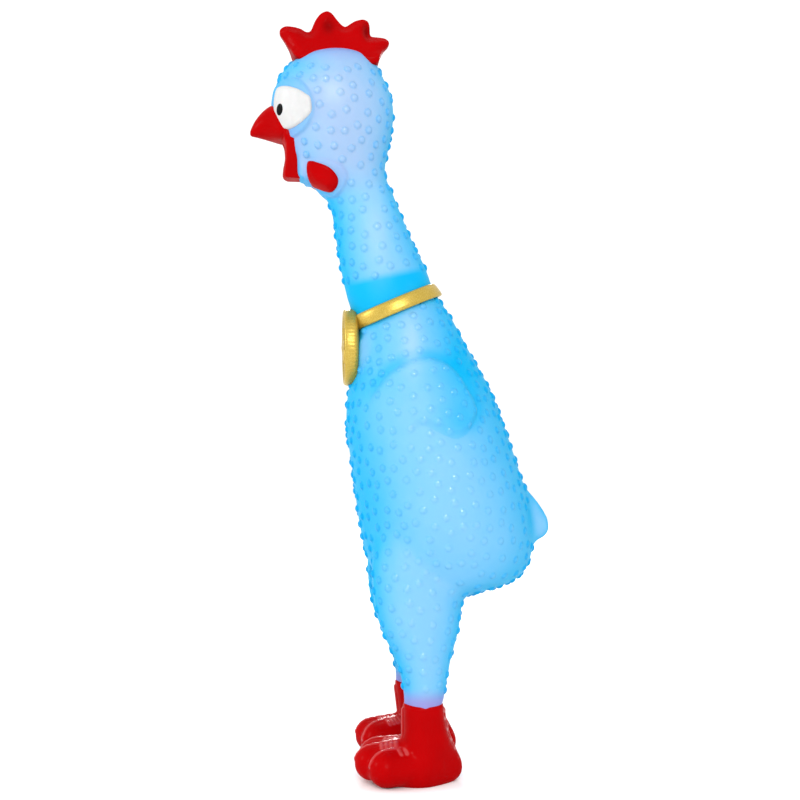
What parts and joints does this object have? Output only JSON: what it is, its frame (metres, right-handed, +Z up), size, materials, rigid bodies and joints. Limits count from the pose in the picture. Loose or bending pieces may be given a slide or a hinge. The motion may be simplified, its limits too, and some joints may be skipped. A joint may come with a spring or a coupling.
{
  "type": "rubber chicken",
  "caption": "Standing squeeze-toy chicken: hollow soft vinyl skin with bending neck, nape and thighs, pressed sides, red comb, beak and feet, breast medal and a reed noise maker.",
  "frame": {"origin": "on the surface it stands on, under the middle of the bounding box", "axes": "+Z up, -Y towards the beak, +X towards the chicken's left side"},
  "size_m": [0.0744, 0.1271, 0.32],
  "materials": {
    "skin": "soft translucent blue vinyl with small moulded domes, satin",
    "red_vinyl": "red painted soft vinyl, satin",
    "gold_paint": "metallic gold paint over raised vinyl",
    "eye_white": "matte white paint over a raised vinyl eye",
    "eye_black": "glossy black paint",
    "whistle_plastic": "moulded natural plastic",
    "reed_film": "thin springy plastic film"
  },
  "bodies": {
    "torso": {"torso_skin": "skin", "collar_skin": "skin", "neck_band": "gold_paint", "medallion": "gold_paint", "medallion_star": "gold_paint", "left_wing": "skin", "right_wing": "skin", "tail": "skin", "left_thigh_flex": "skin", "right_thigh_flex": "skin"},
    "left_side": {"left_side_panel": "skin"},
    "right_side": {"right_side_panel": "skin"},
    "neck_root": {"neck_root_flex": "skin"},
    "neck": {"neck_skin": "skin", "nape_flex": "skin"},
    "head": {"head_skin": "skin", "comb": "red_vinyl", "upper_beak": "red_vinyl", "lower_beak": "red_vinyl", "left_wattle": "red_vinyl", "right_wattle": "red_vinyl", "left_eye_white": "eye_white", "right_eye_white": "eye_white", "left_pupil": "eye_black", "right_pupil": "eye_black", "whistle_body": "whistle_plastic", "reed_bed": "whistle_plastic", "reed_wedge": "whistle_plastic"},
    "reed_tongue": {"reed": "reed_film"},
    "left_leg": {"left_leg_skin": "skin", "left_foot": "red_vinyl"},
    "right_leg": {"right_leg_skin": "skin", "right_foot": "red_vinyl"}
  },
  "joints": [
    {"name": "neck_sway", "type": "hinge", "parent": "torso", "child": "neck_root", "pos_m": [0, -0.0075, 0.21175], "axis": [0, 0.9511, 0.309], "range_deg": [-20, 20], "stiffness_Nm_per_rad": 1.2, "deforming": ["neck_root_flex"]},
    {"name": "neck_bend", "type": "hinge", "parent": "neck_root", "child": "neck", "pos_m": [0, -0.0075, 0.21175], "axis": [1, 0, 0], "range_deg": [-20, 28], "stiffness_Nm_per_rad": 1.2},
    {"name": "head_nod", "type": "hinge", "parent": "neck", "child": "head", "pos_m": [0, -0.01515, 0.23575], "axis": [1, 0, 0], "range_deg": [-18, 18], "stiffness_Nm_per_rad": 0.8, "deforming": ["nape_flex"]},
    {"name": "left_leg_bend", "type": "hinge", "parent": "torso", "child": "left_leg", "pos_m": [0.0181, 0.008, 0.068], "axis": [1, 0, 0], "range_deg": [-22, 22], "stiffness_Nm_per_rad": 3, "deforming": ["left_thigh_flex"]},
    {"name": "right_leg_bend", "type": "hinge", "parent": "torso", "child": "right_leg", "pos_m": [-0.0181, 0.008, 0.068], "axis": [1, 0, 0], "range_deg": [-22, 22], "stiffness_Nm_per_rad": 3, "deforming": ["right_thigh_flex"]},
    {"name": "left_side_press", "type": "slide", "parent": "torso", "child": "left_side", "axis": [-1, 0, 0], "range_m": [0, 0.01], "stiffness_N_per_m": 200},
    {"name": "right_side_press", "type": "slide", "parent": "torso", "child": "right_side", "axis": [1, 0, 0], "range_m": [0, 0.01], "stiffness_N_per_m": 200},
    {"name": "reed_flex", "type": "hinge", "parent": "head", "child": "reed_tongue", "pos_m": [0, -0.0264, 0.2585], "axis": [-1, 0, 0], "range_deg": [0, 4], "stiffness_Nm_per_rad": 0.0002}
  ],
  "couplings": [
    {"joint": "right_side_press", "follows": "left_side_press", "ratio": 1}
  ]
}
